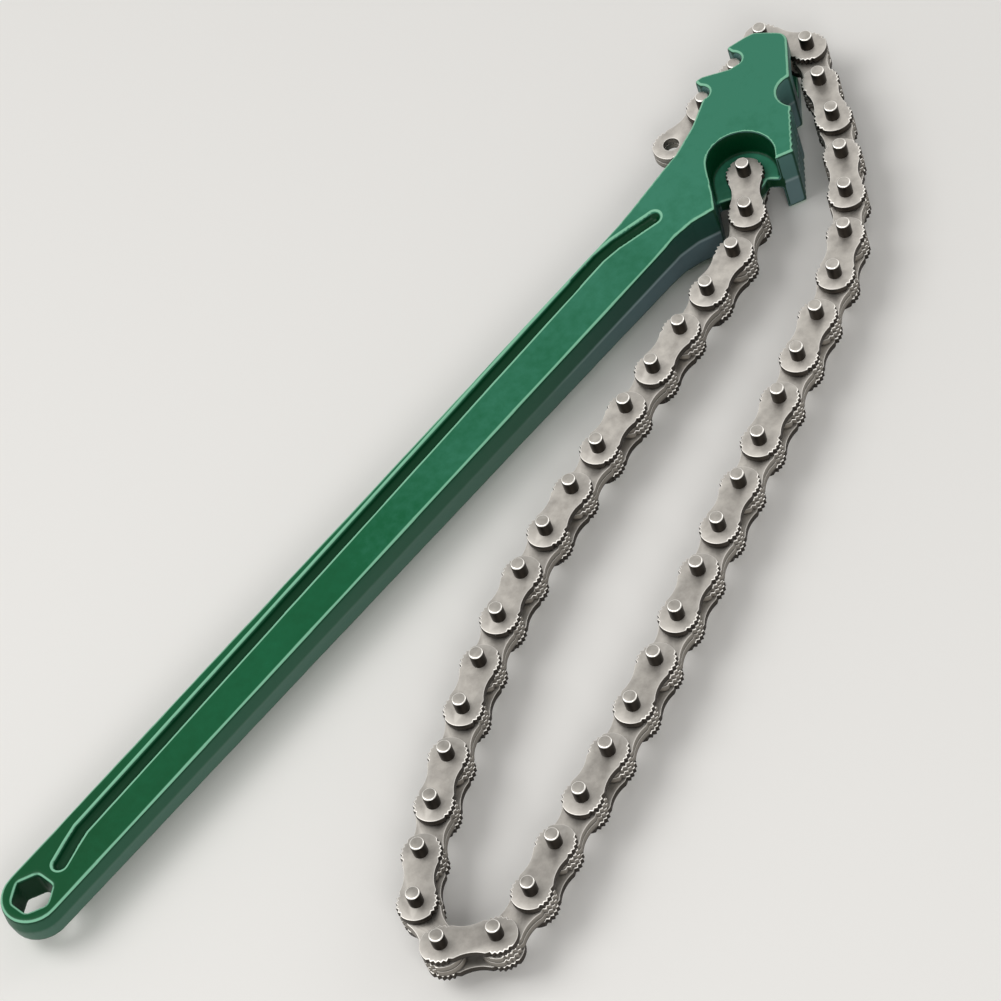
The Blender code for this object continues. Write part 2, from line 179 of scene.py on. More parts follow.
@dataclass(frozen=True)
class BrushedEnamel:
    """Air-dried green alkyd enamel on a shot-blasted drop forging.

    Painted highlights run along the upper edges and the rims of the groove, and painted shade darkens the
    hollows, the groove's floor and the walls of the pocket and the hanging hole. The faces carry a deep,
    mottled green with a painted sheen towards the head, while the trimmed walls are greyer, with a painted
    reflection of the floor below the parting line, a painted highlight on it and painted shade above it,
    and the forging's fine pitting shows through as a soft unevenness.
    """

    name: str = "green_enamel_on_forging"

    # The faces. Three tones lie at these places of a sum, to which the way along the tool, the broad
    # patches and the mottle give these parts. The part of the way along the tool is a painted sheen, which
    # brings the pale tone towards the head.
    deep: str = "#004A26"
    body: str = "#0D5C38"
    pale: str = "#3A7F65"
    tone_places: tuple[float, float, float] = (0.26, 0.56, 0.90)
    tail_to_head_sheen_span: Span = (-0.175, 0.150)
    head_sheen_part: float = 0.66
    patch_part: float = 0.30
    mottle_part: float = 0.26
    patch_mm: float = 30.0
    mottle_mm: float = 3.2

    # The walls of the bar, the neck and the jaw, each below, on and above the parting line: a painted
    # reflection of the floor below it, a painted highlight on it and painted shade above it.
    bar_wall: tuple[str, str, str] = ("#456859", "#4A6A5B", "#2A5742")
    neck_wall: tuple[str, str, str] = ("#54696E", "#8A9EA0", "#22463D")
    jaw_wall: tuple[str, str, str] = ("#637D7F", "#8CA1A1", "#507570")
    bar_to_neck_span: Span = (0.020, 0.095)
    neck_to_jaw_span: Span = (0.125, 0.140)
    parting_half: float = 0.9 * MM

    # Painted shade in hollows and a painted highlight along edges, by the mark on the mesh. An edge has
    # painted shade on its wall's side and a painted highlight on its face's side.
    hollow_shade: str = "#00351B"
    under_edge_shade: str = "#0A3520"
    edge_highlight: str = "#8CC9A8"
    highlight_share: float = 0.85
    hollow_mark_span: Span = (0.26, 0.46)
    edge_mark_span: Span = (0.54, 0.68)

    # Spans of how level the surface lies, from 0 on a wall to 1 on a face.
    wall_to_face_span: Span = (0.25, 0.75)
    edge_upward_span: Span = (0.50, 0.64)
    edge_to_face_span: Span = (0.94, 0.996)
    groove_side_to_rim_span: Span = (0.80, 0.95)

    # The painted highlight along a rim of the groove: how far from its middle line, and how wide.
    rim_away: float = 2.5 * MM
    rim_span: Span = (0.50 * MM, 0.28 * MM)

    # The pits that blasting leaves are about 0.3 mm wide, too fine to show, and are drawn wider.
    pit_mm: float = 1.1
    pit_depth_mm: float = 0.03
    pit_strength: float = 0.7
    noise_roughness: float = 0.6
    roughness_span: Span = (0.28, 0.46)
    ior: float = 1.5
    specular: float = 0.14

    def material(self) -> bpy.types.Material:
        """Builds the finish.

        Returns:
            The material.
        """
        made, tree, shader = new_material(self.name)
        place = add_node(tree, "ShaderNodeTexCoord").outputs
        spot = add_node(tree, "ShaderNodeSeparateXYZ", inputs={0: place["Object"]}).outputs
        slope = add_node(tree, "ShaderNodeSeparateXYZ", inputs={0: place["Normal"]}).outputs["Z"]
        flat = add_node(tree, "ShaderNodeMath", {"operation": "ABSOLUTE"}, {0: slope}).outputs["Value"]
        faces = self.face_colour(tree, place["Object"], spot["X"])
        walls = self.wall_colour(tree, spot["X"], spot["Z"])
        colour = self.mixed(tree, flat, self.wall_to_face_span, walls, faces)
        colour = self.edges(tree, colour, flat)
        colour = self.groove_rims(tree, colour, place["Object"], flat)
        tree.links.new(colour, shader.inputs["Base Color"])
        self.pit(tree, shader, place["Object"])
        shader.inputs["IOR"].default_value = self.ior
        shader.inputs["Specular IOR Level"].default_value = self.specular
        return made

    def pit(self, tree: Tree, shader: bpy.types.Node, place: Socket) -> None:
        """Lets the forging's pits show in the gloss and as a slight relief.

        Args:
            tree: The node tree of the finish.
            shader: Its Principled shader.
            place: Object coordinates.
        """
        pits = add_node(
            tree,
            "ShaderNodeTexNoise",
            inputs={
                "Vector": place,
                "Scale": per_metre(self.pit_mm),
                "Detail": 3.0,
                "Roughness": self.noise_roughness,
            },
        ).outputs["Fac"]
        least, most = self.roughness_span
        gloss = add_node(
            tree, "ShaderNodeMapRange", inputs={"Value": pits, "To Min": least, "To Max": most}
        )
        tree.links.new(gloss.outputs["Result"], shader.inputs["Roughness"])
        relief = add_node(
            tree,
            "ShaderNodeBump",
            inputs={"Height": pits, "Strength": self.pit_strength, "Distance": self.pit_depth_mm * MM},
        )
        tree.links.new(relief.outputs["Normal"], shader.inputs["Normal"])

    @staticmethod
    def mixed(
        tree: Tree,
        value: Socket,
        span: Span,
        first: Socket | Colour,
        second: Socket | Colour,
        most: float = 1.0,
    ) -> Socket:
        """Goes from one colour to another as a value crosses a span.

        Args:
            tree: The node tree of the finish.
            value: What decides the share.
            span: Where the value starts and ends the change.
            first: The colour before the span.
            second: The colour after it.
            most: The largest share of the second colour.

        Returns:
            The colour.
        """
        share = add_node(
            tree,
            "ShaderNodeMapRange",
            {"interpolation_type": "SMOOTHSTEP"},
            {"Value": value, "From Min": span[0], "From Max": span[1], "To Max": most},
        ).outputs["Result"]
        return add_node(
            tree, "ShaderNodeMix", {"data_type": "RGBA"}, {0: share, 6: first, 7: second}
        ).outputs[2]

    def face_colour(self, tree: Tree, place: Socket, along: Socket) -> Socket:
        """The flat faces: deepest at the hanging end, paler towards the head as painted sheen, mottled.

        Args:
            tree: The node tree of the finish.
            place: Object coordinates.
            along: The X of those coordinates.

        Returns:
            The colour.
        """
        patches = add_node(
            tree,
            "ShaderNodeTexNoise",
            inputs={"Vector": place, "Scale": per_metre(self.patch_mm), "Detail": 2.0},
        ).outputs["Fac"]
        mottle = add_node(
            tree,
            "ShaderNodeTexNoise",
            inputs={
                "Vector": place,
                "Scale": per_metre(self.mottle_mm),
                "Detail": 3.0,
                "Roughness": self.noise_roughness,
            },
        ).outputs["Fac"]
        # Painted sheen: paler towards the head.
        tail, head = self.tail_to_head_sheen_span
        tone = add_node(
            tree,
            "ShaderNodeMapRange",
            inputs={"Value": along, "From Min": tail, "From Max": head, "To Max": self.head_sheen_part},
        ).outputs["Result"]
        for pattern, part in ((patches, self.patch_part), (mottle, self.mottle_part)):
            tone = add_node(
                tree, "ShaderNodeMath", {"operation": "MULTIPLY_ADD"}, {0: pattern, 1: part, 2: tone}
            ).outputs["Value"]
        stops = dict(zip(self.tone_places, map(linear, (self.deep, self.body, self.pale))))
        return add_node(tree, "ShaderNodeValToRGB", inputs={"Fac": tone}, stops=stops).outputs["Color"]

    def wall_colour(self, tree: Tree, along: Socket, height: Socket) -> Socket:
        """The trimmed walls by height, greyer at the head: a painted reflection of the floor below the
        parting line, a painted highlight on it and painted shade above it.

        Args:
            tree: The node tree of the finish.
            along: X in object coordinates.
            height: Z in object coordinates.

        Returns:
            The colour.
        """
        thickness = 2 * MID_HEIGHT
        step = self.parting_half / thickness
        level = add_node(
            tree, "ShaderNodeMath", {"operation": "DIVIDE"}, {0: height, 1: thickness}
        ).outputs["Value"]
        walls = []
        for colours in (self.bar_wall, self.neck_wall, self.jaw_wall):
            stops = dict(zip((0.5 - step, 0.5, 0.5 + step), map(linear, colours)))
            ramp = add_node(tree, "ShaderNodeValToRGB", inputs={"Fac": level}, stops=stops)
            walls.append(ramp.outputs["Color"])
        bar, neck, jaw = walls
        handle = self.mixed(tree, along, self.bar_to_neck_span, bar, neck)
        return self.mixed(tree, along, self.neck_to_jaw_span, handle, jaw)

    def edges(self, tree: Tree, colour: Socket, flat: Socket) -> Socket:
        """Paints highlights along convex edges and shade under them and in hollows, by the mark.

        Args:
            tree: The node tree of the finish.
            colour: The colour of faces and walls.
            flat: How level the surface lies, from 0 to 1.

        Returns:
            The colour.
        """
        mark = add_node(tree, "ShaderNodeAttribute", {"attribute_name": EDGE_MARK}).outputs["Fac"]
        hollowed = self.mixed(tree, mark, self.hollow_mark_span, linear(self.hollow_shade), colour)
        stops = dict(zip(self.edge_upward_span, map(linear, (self.under_edge_shade, self.edge_highlight))))
        edge = add_node(tree, "ShaderNodeValToRGB", inputs={"Fac": flat}, stops=stops).outputs["Color"]
        edged = self.mixed(tree, mark, self.edge_mark_span, hollowed, edge, self.highlight_share)
        return self.mixed(tree, flat, self.edge_to_face_span, edged, hollowed)

    def groove_rims(self, tree: Tree, colour: Socket, place: Socket, flat: Socket) -> Socket:
        """Paints a highlight along both rims of the groove, by how far they are from its middle line.

        Args:
            tree: The node tree of the finish.
            colour: The colour so far.
            place: Object coordinates.
            flat: How level the surface lies, from 0 to 1.

        Returns:
            The colour.
        """
        vector, number = "ShaderNodeVectorMath", "ShaderNodeMath"
        level = add_node(tree, vector, {"operation": "MULTIPLY"}, {0: place, 1: (1.0, 1.0, 0.0)})
        # One metre is farther than any part of the tool, so the first stretch of the line is nearer.
        nearest: Socket | float = 1.0
        for start, end in zip(GROOVE_LINE[:-1], GROOVE_LINE[1:]):
            origin = Vector((*start, 0.0))
            step = Vector((*end, 0.0)) - origin
            away = add_node(
                tree, vector, {"operation": "SUBTRACT"}, {0: level.outputs["Vector"], 1: origin}
            ).outputs["Vector"]
            share = add_node(
                tree, vector, {"operation": "DOT_PRODUCT"}, {0: away, 1: step / step.length_squared}
            ).outputs["Value"]
            held = add_node(tree, "ShaderNodeClamp", inputs={"Value": share}).outputs["Result"]
            foot = add_node(tree, vector, {"operation": "SCALE"}, {0: step, "Scale": held})
            gap = add_node(
                tree, vector, {"operation": "DISTANCE"}, {0: away, 1: foot.outputs["Vector"]}
            ).outputs["Value"]
            nearest = add_node(tree, number, {"operation": "MINIMUM"}, {0: gap, 1: nearest}).outputs[0]
        beyond = add_node(tree, number, {"operation": "SUBTRACT"}, {0: nearest, 1: self.rim_away})
        off = add_node(tree, number, {"operation": "ABSOLUTE"}, {0: beyond.outputs[0]}).outputs[0]
        lined = self.mixed(tree, off, self.rim_span, colour, linear(self.edge_highlight), self.highlight_share)
        return self.mixed(tree, flat, self.groove_side_to_rim_span, colour, lined)


@dataclass(frozen=True)
class TumbledSteel:
    """Hardened carbon steel, stamped and then barrel-tumbled.

    Tumbling leaves a satin warm grey with a faint mottle on the faces. By which way they face, the upper
    rims get a painted highlight, nearly white, while the walls are darkened and the lower rims darkest,
    both as painted shade. The faces get painted shade towards the loop, so that the links at the hooks are
    the brightest.
    """

    name: str

    # The faces, between two tones of the mottle.
    dark: str
    light: str
    tone_span: Span = (0.30, 0.65)
    mottle_mm: float = 3.0

    # The sides and rims, by which way they face: 0 is straight down, 0.5 level and 1 straight up. Painted
    # shade lies below and on the walls, and a painted highlight, nearly white, on the upper rims.
    under: str = "#3B3733"
    wall: str = "#8F8A83"
    rim: str = "#F4F0E9"
    facing_places: tuple[float, float, float, float] = (0.36, 0.48, 0.62, 0.84)
    side_to_face_span: Span = (0.90, 0.99)

    # Painted shade on the faces: what it leaves of their colour at the loop, and where it ends.
    loop_shade_span: Span = (-0.110, 0.100)
    loop_shade: float = 0.64

    # The scratches of tumbling are under 0.1 mm apart, too fine to show, and are drawn coarser.
    scratch_mm: float = 0.5
    scratch_depth_mm: float = 0.012
    scratch_strength: float = 0.5
    smooth: float = 0.42
    rough: float = 0.58

    def material(self) -> bpy.types.Material:
        """Builds the finish.

        Returns:
            The material.
        """
        made, tree, shader = new_material(self.name)
        place = add_node(tree, "ShaderNodeTexCoord").outputs
        mottle = add_node(
            tree,
            "ShaderNodeTexNoise",
            inputs={
                "Vector": place["Object"],
                "Scale": per_metre(self.mottle_mm),
                "Detail": 4.0,
                "Roughness": 0.6,
            },
        ).outputs["Fac"]
        slope = add_node(tree, "ShaderNodeSeparateXYZ", inputs={0: place["Normal"]}).outputs["Z"]
        flat = add_node(tree, "ShaderNodeMath", {"operation": "ABSOLUTE"}, {0: slope}).outputs["Value"]
        start, end = self.side_to_face_span
        level = add_node(
            tree, "ShaderNodeMapRange", inputs={"Value": flat, "From Min": start, "From Max": end}
        )
        faces = self.face_colour(tree, place["Object"], mottle)
        sides = self.side_colour(tree, slope)
        colour = add_node(
            tree, "ShaderNodeMix", {"data_type": "RGBA"}, {0: level.outputs["Result"], 6: sides, 7: faces}
        ).outputs[2]
        tree.links.new(colour, shader.inputs["Base Color"])
        gloss = add_node(
            tree,
            "ShaderNodeMapRange",
            inputs={"Value": mottle, "To Min": self.smooth, "To Max": self.rough},
        )
        tree.links.new(gloss.outputs["Result"], shader.inputs["Roughness"])
        tree.links.new(self.scratches(tree, place["Object"]), shader.inputs["Normal"])
        shader.inputs["Metallic"].default_value = 1.0
        return made

    def face_colour(self, tree: Tree, place: Socket, mottle: Socket) -> Socket:
        """The mottled faces, with painted shade towards the loop.

        Args:
            tree: The node tree of the finish.
            place: Object coordinates.
            mottle: The mottle, from 0 to 1.

        Returns:
            The colour.
        """
        stops = dict(zip(self.tone_span, map(linear, (self.dark, self.light))))
        bare = add_node(tree, "ShaderNodeValToRGB", inputs={"Fac": mottle}, stops=stops).outputs["Color"]
        along = add_node(tree, "ShaderNodeSeparateXYZ", inputs={0: place}).outputs["X"]
        loop, hooks = self.loop_shade_span
        loop_shading = add_node(
            tree,
            "ShaderNodeMapRange",
            inputs={"Value": along, "From Min": loop, "From Max": hooks, "To Min": self.loop_shade},
        ).outputs["Result"]
        mode = {"data_type": "RGBA", "blend_type": "MULTIPLY"}
        return add_node(tree, "ShaderNodeMix", mode, {0: 1.0, 6: bare, 7: loop_shading}).outputs[2]

    def side_colour(self, tree: Tree, slope: Socket) -> Socket:
        """The sides and rims: painted shade below and on the walls, and a painted highlight above.

        Args:
            tree: The node tree of the finish.
            slope: The Z of the surface's normal.

        Returns:
            The colour.
        """
        facing = add_node(
            tree, "ShaderNodeMapRange", inputs={"Value": slope, "From Min": -1.0, "From Max": 1.0}
        ).outputs["Result"]
        stops = dict(zip(self.facing_places, map(linear, (self.under, self.wall, self.wall, self.rim))))
        return add_node(tree, "ShaderNodeValToRGB", inputs={"Fac": facing}, stops=stops).outputs["Color"]

    def scratches(self, tree: Tree, place: Socket) -> Socket:
        """The fine scratches of tumbling.

        Args:
            tree: The node tree of the finish.
            place: Object coordinates.

        Returns:
            The normal.
        """
        height = add_node(
            tree,
            "ShaderNodeTexNoise",
            inputs={"Vector": place, "Scale": per_metre(self.scratch_mm), "Detail": 2.0, "Roughness": 0.7},
        ).outputs["Fac"]
        return add_node(
            tree,
            "ShaderNodeBump",
            inputs={
                "Height": height,
                "Strength": self.scratch_strength,
                "Distance": self.scratch_depth_mm * MM,
            },
        ).outputs["Normal"]


@dataclass(frozen=True)
class PaleFloor:
    """Matt white board under the tool; it keeps the tool's shadow and shows no grain of its own."""

    name: str = "pale_board"
    colour: str = "#EDEBE7"
    roughness: float = 0.9
    specular: float = 0.1

    def material(self) -> bpy.types.Material:
        """Builds the finish.

        Returns:
            The material.
        """
        made, _, shader = new_material(self.name)
        shader.inputs["Base Color"].default_value = linear(self.colour)
        shader.inputs["Roughness"].default_value = self.roughness
        shader.inputs["Specular IOR Level"].default_value = self.specular
        return made


def deselect_all() -> None:
    """Leaves nothing selected, in object mode."""
    if bpy.context.object and bpy.context.object.mode != "OBJECT":
        bpy.ops.object.mode_set(mode="OBJECT")
    bpy.ops.object.select_all(action="DESELECT")


def pick(piece: bpy.types.Object) -> None:
    """Makes one object the only selected and the active one.

    Args:
        piece: The object.
    """
    deselect_all()
    piece.select_set(True)
    bpy.context.view_layer.objects.active = piece


def start_edit(piece: bpy.types.Object, mode: str = "VERT") -> None:
    """Opens an object in edit mode with nothing selected.

    Args:
        piece: The object to open.
        mode: VERT, EDGE or FACE, what is selected there.
    """
    pick(piece)
    bpy.ops.object.mode_set(mode="EDIT")
    bpy.ops.mesh.select_mode(type=mode)
    bpy.ops.mesh.select_all(action="DESELECT")


def end_edit() -> None:
    """Goes back to object mode."""
    bpy.ops.object.mode_set(mode="OBJECT")


def settle(piece: bpy.types.Object) -> None:
    """Applies an object's place, turn and scale, so that it sits at the origin."""
    pick(piece)
    bpy.ops.object.transform_apply(location=True, rotation=True, scale=True)


def apply_modifier(piece: bpy.types.Object, kind: str, **settings: Any) -> None:
    """Adds a modifier with its settings and applies it.

    Args:
        piece: The object that gets the modifier.
        kind: Blender's name of the modifier type.
        **settings: Properties of the modifier by name.
    """
    pick(piece)
    step = piece.modifiers.new(kind.lower(), kind)
    for name, value in settings.items():
        setattr(step, name, value)
    bpy.ops.object.modifier_apply(modifier=step.name)


def smooth_by_angle(piece: bpy.types.Object, degrees: float) -> None:
    """Shades a piece smooth except over edges sharper than an angle."""
    pick(piece)
    bpy.ops.object.shade_smooth_by_angle(angle=math.radians(degrees))


def select_verts(piece: bpy.types.Object, wanted: Callable[[Vector], bool]) -> None:
    """Selects the vertices of a piece in edit mode that pass a test, and what lies between them.

    Args:
        piece: The object that is open in edit mode.
        wanted: The test, of a vertex's place.
    """
    mesh = bmesh.from_edit_mesh(piece.data)
    for vertex in mesh.verts:
        vertex.select_set(wanted(vertex.co))
    mesh.select_flush(True)
    bmesh.update_edit_mesh(piece.data)


def select_edges(piece: bpy.types.Object, wanted: Callable[[Vector, Vector], bool]) -> None:
    """Selects the edges of a piece in edit mode that pass a test.

    Args:
        piece: The object that is open in edit mode.
        wanted: The test, of the places of an edge's two ends.
    """
    mesh = bmesh.from_edit_mesh(piece.data)
    for edge in mesh.edges:
        edge.select_set(wanted(edge.verts[0].co, edge.verts[1].co))
    bmesh.update_edit_mesh(piece.data)


def copied(master: bpy.types.Object, name: str, move: Matrix) -> bpy.types.Object:
    """A copy of a piece with its own mesh, moved by a matrix, with its object at the origin.

    Args:
        master: The piece to copy.
        name: The name of the copy.
        move: Where the copy's mesh goes.

    Returns:
        The copy.
    """
    made = master.copy()
    made.data = master.data.copy()
    made.name = made.data.name = name
    bpy.context.scene.collection.objects.link(made)
    made.data.transform(move)
    return made


@dataclass
class Forging:
    """The one-piece handle and head: a softened copy of the CAD node with a deeper groove."""

    node: str = "handle"
    finish: BrushedEnamel = field(default_factory=BrushedEnamel)

    # The even mesh that the copy is turned into, and the share of its faces that is kept.
    merged_within: float = 0.002 * MM
    voxel: float = 0.5 * MM
    kept_share: float = 0.70

    # The rounding of every edge, and that of the bar, which fades out where the neck starts.
    soften_share: float = 0.5
    soften_steps: int = 3
    bar_steps: int = 7
    bar_start: float = 0.075
    bar_fade: float = 0.015
    least_weight: float = 0.02

    # The groove: half its width, the width of its steep side, what it gains in depth, and how far from
    # its middle line the bar isn't rounded.
    groove_half: float = 2.3 * MM
    groove_slope: float = 0.8 * MM
    groove_more: float = 0.9 * MM
    groove_margin: float = 3.4 * MM

    # The uneven skin that the dies leave.
    wave_mm: float = 7.0
    wave_depth: float = 0.10 * MM

    # The mark of painted light: the radius of a bend that counts as a full edge, how much painted shade a
    # hollow takes, how far down the groove its floor starts, and how upright a wall of the pocket is.
    tightest: float = 0.9 * MM
    shortest: float = 0.001 * MM
    hollow_shading: float = 0.4
    groove_floor_span: Span = (0.35, 0.85)
    wall_slope: float = 0.5
    anchor: tuple[float, float] = (0.1324866, 0.0412335)
    pocket_reach: float = 11.6 * MM
    hanging_hole: tuple[float, float] = (-0.1791, 0.0508)
    hole_reach: float = 6.6 * MM

    def build(self) -> bpy.types.Object:
        """Builds the forging and dresses it.

        Returns:
            The finished piece.
        """
        source = frame["nodes"][self.node]
        made = bpy.data.objects.new("painted_forging", source.data.copy())
        bpy.context.scene.collection.objects.link(made)
        start_edit(made)
        bpy.ops.mesh.select_all(action="SELECT")
        bpy.ops.mesh.remove_doubles(threshold=self.merged_within)
        end_edit()
        apply_modifier(made, "REMESH", mode="VOXEL", voxel_size=self.voxel, use_smooth_shade=True)
        apply_modifier(made, "SMOOTH", factor=self.soften_share, iterations=self.soften_steps)
        self.soften_bar(made)
        sunk = self.sink_groove(made)
        self.hammer(made)
        self.mark_edges(made, sunk)
        apply_modifier(made, "DECIMATE", ratio=self.kept_share)
        pick(made)
        bpy.ops.object.shade_smooth()
        made.data.materials.clear()
        made.data.materials.append(self.finish.material())
        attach(made, self.node)
        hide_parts(self.node)
        LOG.info("forging: %d faces", len(made.data.polygons))
        return made

    @staticmethod
    def read(items: Any, name: str) -> np.ndarray:
        """Reads a three-number property of all vertices.

        Args:
            items: The vertices of a mesh.
            name: The name of the property.

        Returns:
            One row for each vertex.
        """
        rows = np.empty(3 * len(items))
        items.foreach_get(name, rows)
        return rows.reshape(-1, 3)

    @staticmethod
    def from_groove(spots: np.ndarray) -> np.ndarray:
        """Measures how far places are from the middle line of the groove, seen from above.

        Args:
            spots: The places, as rows.

        Returns:
            The distance of each.
        """
        flat = spots[:, :2]
        nearest = np.full(len(flat), np.inf)
        line = np.array(GROOVE_LINE)
        for start, end in zip(line[:-1], line[1:]):
            step = end - start
            share = np.clip((flat - start) @ step / (step @ step), 0.0, 1.0)
            nearest = np.minimum(nearest, np.linalg.norm(flat - start - share[:, None] * step, axis=1))
        return nearest

    def soften_bar(self, piece: bpy.types.Object) -> None:
        """Rounds the edges of the bar more than those of the head, and leaves the groove crisp.

        Args:
            piece: The forging.
        """
        spots = self.read(piece.data.vertices, "co")
        share = np.clip((self.bar_start - spots[:, 0]) / self.bar_fade, 0.0, 1.0)
        share[self.from_groove(spots) < self.groove_margin] = 0.0
        group = piece.vertex_groups.new(name="bar")
        for index in np.flatnonzero(share > self.least_weight).tolist():
            group.add([index], float(share[index]), "REPLACE")
        apply_modifier(
            piece, "SMOOTH", factor=self.soften_share, iterations=self.bar_steps, vertex_group=group.name
        )
        piece.vertex_groups.clear()

    def sink_groove(self, piece: bpy.types.Object) -> np.ndarray:
        """Presses the groove of both faces deeper, between steep sides.

        Args:
            piece: The forging.

        Returns:
            How far down each vertex is in the groove, from 0 on the face to 1 on the floor.
        """
        mesh = piece.data
        spots = self.read(mesh.vertices, "co")
        share = np.clip((self.groove_half - self.from_groove(spots)) / self.groove_slope, 0.0, 1.0)
        sunk = share * share * (3 - 2 * share)
        side = np.sign(spots[:, 2] - MID_HEIGHT)
        spots[:, 2] -= side * self.groove_more * sunk
        mesh.vertices.foreach_set("co", spots.ravel())
        mesh.update()
        return sunk

    def hammer(self, piece: bpy.types.Object) -> None:
        """Presses the shallow unevenness of a die-forged skin into the mesh, inwards only.

        Args:
            piece: The forging.
        """
        wave = bpy.data.textures.new("forged_skin", "CLOUDS")
        wave.noise_scale = self.wave_mm * MM
        wave.noise_depth = 1
        apply_modifier(piece, "DISPLACE", texture=wave, strength=self.wave_depth, mid_level=1.0)

    def mark_edges(self, piece: bpy.types.Object, sunk: np.ndarray) -> None:
        """Writes the mark of painted light at each vertex: 0 painted shade, 0.5 flat, 1 painted highlight.

        Args:
            piece: The forging.
            sunk: How far down each vertex is in the groove.
        """
        mesh = piece.data
        count = len(mesh.vertices)
        spots = self.read(mesh.vertices, "co")
        normals = self.read(mesh.vertices, "normal")
        ends = np.empty(2 * len(mesh.edges), dtype=np.int64)
        mesh.edges.foreach_get("vertices", ends)
        first, second = ends.reshape(-1, 2).T
        step = spots[second] - spots[first]
        bend = np.einsum("ij,ij->i", normals[second] - normals[first], step)
        bend /= np.maximum(np.einsum("ij,ij->i", step, step), self.shortest**2)
        turn = np.zeros(count)
        shares = np.zeros(count)
        for end in (first, second):
            np.add.at(turn, end, bend)
            np.add.at(shares, end, 1.0)
        mark = 0.5 + 0.5 * (turn / shares) * self.tightest
        # The groove's floor and the walls of the pocket and the hanging hole take painted shade.
        floor_start, floor_end = self.groove_floor_span
        mark -= self.hollow_shading * np.clip((sunk - floor_start) / (floor_end - floor_start), 0.0, 1.0)
        wall = 1 - np.clip(np.abs(normals[:, 2]) / self.wall_slope, 0.0, 1.0)
        for centre, reach in ((self.anchor, self.pocket_reach), (self.hanging_hole, self.hole_reach)):
            away = np.linalg.norm(spots[:, :2] - np.array(centre), axis=1)
            mark -= self.hollow_shading * wall * (away < reach)
        layer = mesh.attributes.new(EDGE_MARK, "FLOAT", "POINT")
        layer.data.foreach_set("value", np.clip(mark, 0.0, 1.0).astype(np.float32))


